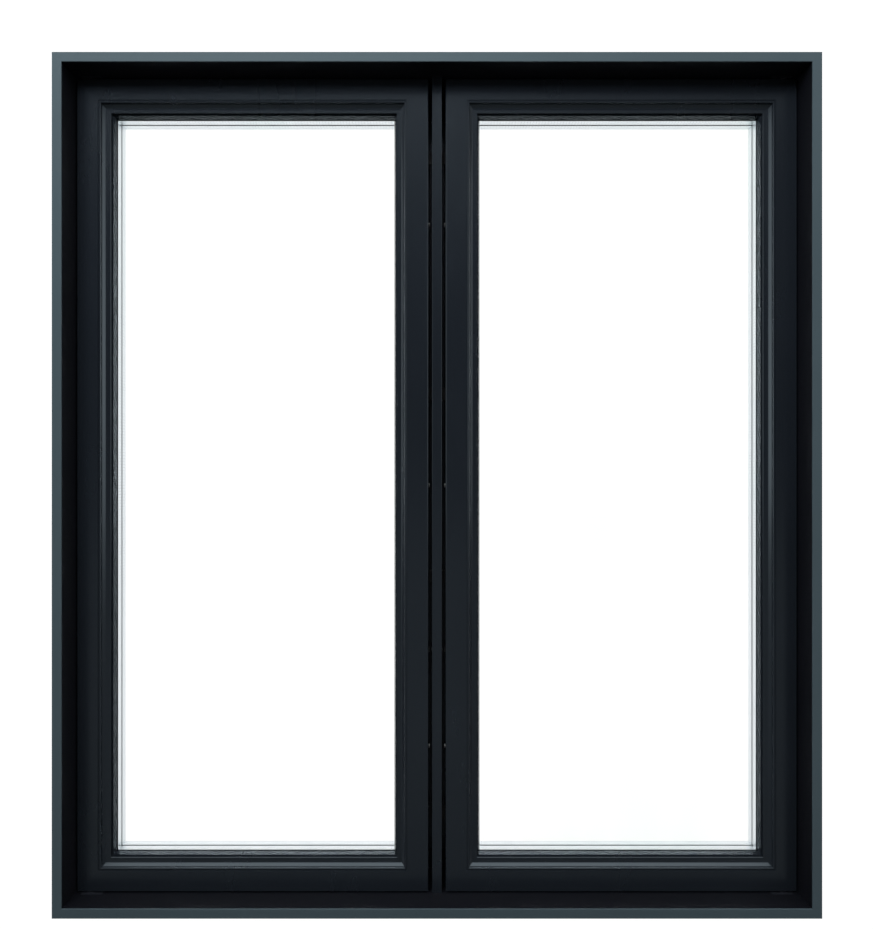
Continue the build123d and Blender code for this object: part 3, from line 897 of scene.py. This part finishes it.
@dataclass
class LockGear:
    """The two locks: cases, levers, tie bars and rollers."""

    lever: bpy.types.Material
    case: bpy.types.Material
    steel: bpy.types.Material
    blacked: bpy.types.Material
    screw: SocketScrew = field(
        default_factory=lambda: SocketScrew(
            radius=0.0036, height=0.0017, countersunk=True, shank=0.0019, socket_depth=0.9
        )
    )

    def build(self) -> None:
        """Dress the locks and cut the sockets of their screws."""
        for side in Side:
            dress(self.lever, f"lock_lever_{side.value}")
            dress(self.case, f"lock_case_{side.value}")
            dress(self.blacked, f"tie_bar_{side.value}")
            dress(self.steel, f"rollers_{side.value}")
        dress(self.steel, "lever_axles")
        self.fit_case_screws()

    def fit_case_screws(self) -> None:
        """Put a socket screw in the place of each plain one."""
        low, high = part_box("case_screws")
        shape = bmesh.new()
        for x in (low.x + self.screw.radius, high.x - self.screw.radius):
            for z in (low.z + self.screw.radius, high.z - self.screw.radius):
                self.screw.add_to(shape, Vector((x, high.y, z)), Vector((0, 1, 0)))
        piece = make_piece("case_socket_screws", shape, self.steel)
        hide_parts("case_screws")
        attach(piece, "frame")


@dataclass
class Lamp:
    """A soft square lamp."""

    name: str
    place: Place
    target: Place
    size: tuple[float, float]
    power: float
    spread: float = 180.0
    glossy: bool = True

    def build(self) -> None:
        """Hang the lamp and turn it to its target."""
        data = bpy.data.lights.new(self.name, "AREA")
        data.shape = "RECTANGLE"
        data.size, data.size_y = self.size
        data.energy = self.power
        data.spread = radians(self.spread)
        lamp = bpy.data.objects.new(self.name, data)
        bpy.context.scene.collection.objects.link(lamp)
        lamp.location = self.place
        aim = Vector(self.target) - Vector(self.place)
        lamp.rotation_euler = aim.to_track_quat("-Z", "Y").to_euler()
        lamp.visible_camera = False
        lamp.visible_transmission = False
        lamp.visible_glossy = self.glossy
        log.info("lamp %s at %s", self.name, self.place)


@dataclass
class Studio:
    """The pale floor, the soft light and the camera.

    Behind, overhead and beside are the spans of a direction's Y, Z and X over which the
    surroundings brighten.
    """

    floor_radius: float = 14.0
    floor_steps: int = 96
    floor_clouds: float = 6.0
    camera_distance: float = 1.063
    lens: float = 26.458
    sensor: float = 36.0
    shift: tuple[float, float] = (-0.0005, 0.02237)
    lamps: tuple[Lamp, ...] = (
        Lamp(
            "key", (-0.75, -2.1, 2.5), (-0.1, 0.0, 1.8), (2.0, 1.1),
            power=39.0, spread=100.0, glossy=False,
        ),
        Lamp("room", (-1.6, 2.8, 2.4), (0.0, 0.0, 0.7), (1.6, 1.2), power=60.0),
    )
    floor_dark: Rgb = (84, 84, 83)
    floor_light: Rgb = (91, 91, 90)
    floor_roughness: float = 0.9
    floor_gloss: float = 0.1
    floor_glow: float = 2.14
    floor_glow_share: float = 0.44
    seen_white: float = 1.08
    behind: tuple[float, float] = (-0.05, 0.25)
    overhead: tuple[float, float] = (0.4, 0.95)
    overhead_levels: tuple[float, float] = (0.03, 2.8)
    beside: tuple[float, float] = (0.6, 0.92)
    wall_level: float = 2.3

    def build(self) -> None:
        """Set up the floor, the light and the camera."""
        self.lay_floor()
        self.light_surroundings()
        for lamp in self.lamps:
            lamp.build()
        self.place_camera()
        bpy.context.scene.view_settings.view_transform = "Standard"

    def lay_floor(self) -> None:
        """Lay the round floor that the window stands on."""
        shape = bmesh.new()
        bmesh.ops.create_circle(
            shape, cap_ends=True, segments=self.floor_steps, radius=self.floor_radius
        )
        material = bpy.data.materials.new("pale_floor")
        material.use_nodes = True
        tree = NodeTree(material.node_tree)
        shader = material.node_tree.nodes["Principled BSDF"]
        place = tree.add("TexCoord").outputs["Object"]
        grain = tree.cloud(place, self.floor_clouds, 4.0)
        tone = tree.blend(grain, linear(self.floor_dark), linear(self.floor_light))
        tree.join(tone, shader.inputs["Base Color"])
        shader.inputs["Roughness"].default_value = self.floor_roughness
        shader.inputs["Specular IOR Level"].default_value = self.floor_gloss
        glow = tree.add("Emission")
        glow.inputs["Strength"].default_value = self.floor_glow
        mix = tree.add("MixShader")
        seen = self.seen_directly(tree)
        tree.join(tree.sums("MULTIPLY", seen, self.floor_glow_share), mix.inputs["Fac"])
        tree.join(shader.outputs["BSDF"], mix.inputs[1])
        tree.join(glow.outputs["Emission"], mix.inputs[2])
        end = material.node_tree.nodes["Material Output"]
        tree.join(mix.outputs["Shader"], end.inputs["Surface"])
        floor = make_piece("floor", shape, material)

    def seen_directly(self, tree: NodeTree) -> bpy.types.NodeSocket:
        """Tell the rays that the eye follows, straight or through glass, from the rest.

        Args:
            tree: The tree that asks.

        Returns:
            A value of one on such rays.
        """
        path = tree.add("LightPath")
        return tree.sums(
            "MAXIMUM", path.outputs["Is Camera Ray"], path.outputs["Is Transmission Ray"]
        )

    def light_surroundings(self) -> None:
        """Make the surroundings white to look at, and dim and soft in front of the window."""
        world = bpy.data.worlds.new("studio")
        bpy.context.scene.world = world
        world.use_nodes = True
        tree = NodeTree(world.node_tree)
        shader = world.node_tree.nodes["Background"]
        way = tree.add("SeparateXYZ")
        tree.join(tree.add("TexCoord").outputs["Generated"], way.inputs[0])
        behind = tree.ease(way.outputs["Y"], *self.behind)
        overhead = tree.ease(way.outputs["Z"], *self.overhead, *self.overhead_levels)
        beside = tree.ease(tree.sums("ABSOLUTE", way.outputs["X"]), *self.beside)
        walls = tree.sums("MULTIPLY", beside, self.wall_level)
        ambient = tree.sums("MAXIMUM", tree.sums("MAXIMUM", behind, overhead), walls)
        seen = tree.sums("MULTIPLY", self.seen_directly(tree), self.seen_white)
        level = tree.sums("MAXIMUM", seen, ambient)
        tree.join(level, shader.inputs["Strength"])
        shader.inputs["Color"].default_value = (1.0, 1.0, 1.0, 1.0)

    def place_camera(self) -> None:
        """Stand the camera level in front of the window's middle."""
        low, high = cad_box
        data = bpy.data.cameras.new("camera")
        data.lens = self.lens
        data.sensor_width = self.sensor
        data.shift_x, data.shift_y = self.shift
        camera = bpy.data.objects.new("camera", data)
        bpy.context.scene.collection.objects.link(camera)
        camera.location = ((low.x + high.x) / 2, low.y - self.camera_distance, (low.z + high.z) / 2)
        camera.rotation_euler = (radians(90), 0.0, 0.0)
        bpy.context.scene.camera = camera


def middle_depth(node: str) -> float:
    """Give the Y of a solid's middle.

    Args:
        node: The solid's name.

    Returns:
        Its mid-depth.
    """
    low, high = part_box(node)
    return (low.y + high.y) / 2


def main() -> None:
    """Build the window's looks and the studio."""
    logging.basicConfig(level=logging.INFO, format="%(message)s")
    shared = Effects()
    # The frame wears the sashes' black coat made darker: painted shade for its reveals, which sit
    # in the recess round the sashes.
    frame_paint_with_painted_shade = PowderCoat(
        "frame_paint_with_painted_shade", (12, 14, 19), (10, 11, 16), 0.45, shared, specular=0.2
    ).material()
    sash_paint = PowderCoat(
        "sash_paint", (22, 26, 32), (18, 22, 27), 0.22, shared, specular=0.6,
        gleam=(0.74, 0.9, 1.0),
    ).material()
    cover_paint = PowderCoat(
        "cover_paint", (62, 75, 81), (57, 69, 75), 0.3, shared, metallic=0.1, specular=0.25
    ).material()
    handle_paint = PowderCoat("handle_paint", (30, 32, 37), (26, 28, 32), 0.32, shared).material()
    blacked = PowderCoat(
        "blackened_steel", (34, 37, 44), (28, 30, 36), 0.45, shared, metallic=0.3
    ).material()
    alloy = DrawnMetal("drawn_alloy", (206, 208, 210), (182, 184, 187), 0.42, shared).material()
    steel = DrawnMetal("plated_steel", (196, 198, 200), (165, 168, 170), 0.3, shared).material()
    rubber = MouldedPolymer("seal_rubber", (24, 24, 25), (18, 18, 19), 0.75, shared).material()
    nylon = MouldedPolymer("black_nylon", (30, 30, 32), (24, 24, 26), 0.55, shared).material()
    glass = FloatGlass("float_glass", (255, 255, 255), (253, 255, 254), 0.0, shared).material()
    spacers = {
        name: SpacerMetal(
            f"{name}_metal", (232, 238, 241), (216, 223, 228), 0.3, shared,
            middle=middle_depth(f"{name}_left"),
        ).material()
        for name in ("spacer_outer", "spacer_inner")
    }
    OuterFrame(frame_paint_with_painted_shade, cover_paint, alloy, blacked, rubber, nylon).build()
    Mullion(sash_paint, alloy).build()
    for side in Side:
        Sash(
            side, sash_paint, handle_paint, alloy, steel, rubber, nylon, glass,
            spacers["spacer_outer"], spacers["spacer_inner"],
        ).build()
    LockGear(handle_paint, nylon, steel, blacked).build()
    Studio().build()


if __name__ == "__main__":
    main()
